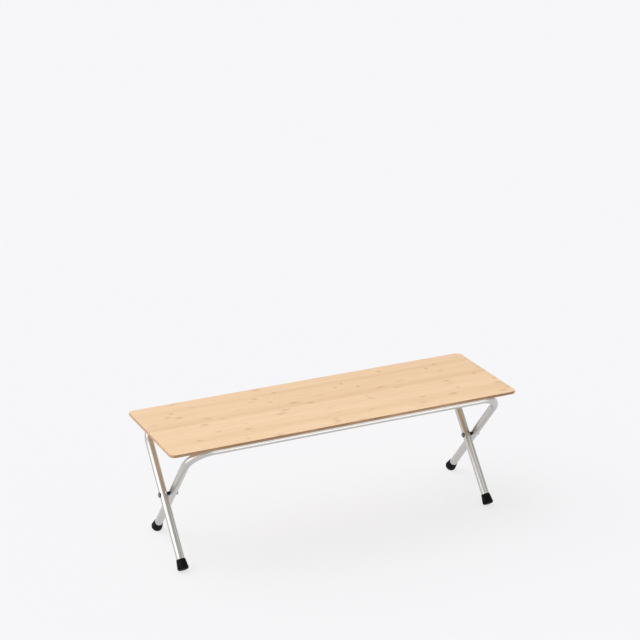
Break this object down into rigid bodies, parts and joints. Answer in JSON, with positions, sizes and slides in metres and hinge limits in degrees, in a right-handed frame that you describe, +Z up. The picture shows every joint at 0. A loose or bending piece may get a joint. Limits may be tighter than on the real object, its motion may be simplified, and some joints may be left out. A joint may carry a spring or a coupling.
{
  "type": "folding bench",
  "caption": "Low folding bench with a thin wooden board seat on two crossed U-shaped aluminium tube frames with black rubber feet; the frames fold flat under the board.",
  "frame": {"origin": "On the ground under the middle of the seat board", "axes": "+X along the seat to the right, +Y from the front edge to the rear edge, +Z up"},
  "size_m": [1.1, 0.35, 0.378],
  "materials": {
    "board_wood": "light laminated bamboo under a satin clear coat",
    "frame_tube": "bright anodised aluminium tube with a soft sheen",
    "foot_rubber": "matt moulded black rubber",
    "rivet_steel": "plated rivets with domed heads, and their saddle washers",
    "pivot_plastic": "moulded black plastic",
    "clamp_plastic": "moulded black plastic",
    "fixing_steel": "zinc-plated steel",
    "catch_steel": "zinc-plated pressed steel"
  },
  "bodies": {
    "rear_frame": {"rear_bar_frame": "frame_tube", "foot_front_left": "foot_rubber", "foot_front_right": "foot_rubber", "sole_washers_front": "fixing_steel", "pivot_rivet_left": "rivet_steel", "pivot_rivet_right": "rivet_steel", "pivot_washer_left_outer": "rivet_steel", "pivot_spacer_left_outer": "pivot_plastic", "pivot_washer_right_inner": "rivet_steel", "pivot_spacer_right_inner": "pivot_plastic"},
    "front_frame": {"front_bar_frame": "frame_tube", "foot_rear_left": "foot_rubber", "foot_rear_right": "foot_rubber", "sole_washers_rear": "fixing_steel", "pivot_washer_left_inner": "rivet_steel", "pivot_spacer_left_inner": "pivot_plastic", "pivot_washer_right_outer": "rivet_steel", "pivot_spacer_right_outer": "pivot_plastic"},
    "seat": {"seat_board": "board_wood", "hinge_clamp_left": "clamp_plastic", "hinge_clamp_middle": "clamp_plastic", "hinge_clamp_right": "clamp_plastic", "hinge_screws": "fixing_steel", "catch_bracket_left": "catch_steel", "catch_bracket_right": "catch_steel", "catch_pin_left": "fixing_steel", "catch_pin_right": "fixing_steel", "catch_screws": "fixing_steel"},
    "catch_left": {"catch_hook_left": "catch_steel"},
    "catch_right": {"catch_hook_right": "catch_steel"}
  },
  "joints": [
    {"name": "frame_fold", "type": "hinge", "parent": "rear_frame", "child": "front_frame", "pos_m": [0, 0, 0.18066], "axis": [1, 0, 0], "range_deg": [0, 92.5]},
    {"name": "seat_turn", "type": "hinge", "parent": "rear_frame", "child": "seat", "pos_m": [0, 0.147, 0.3577], "axis": [1, 0, 0], "range_deg": [0, 46.25]},
    {"name": "catch_left_turn", "type": "hinge", "parent": "seat", "child": "catch_left", "pos_m": [-0.25, -0.107, 0.361], "axis": [-1, 0, 0], "range_deg": [0, 140]},
    {"name": "catch_right_turn", "type": "hinge", "parent": "seat", "child": "catch_right", "pos_m": [0.25, -0.107, 0.361], "axis": [-1, 0, 0], "range_deg": [0, 140]}
  ],
  "couplings": [
    {"joint": "seat_turn", "follows": "frame_fold", "ratio": 0.5}
  ]
}
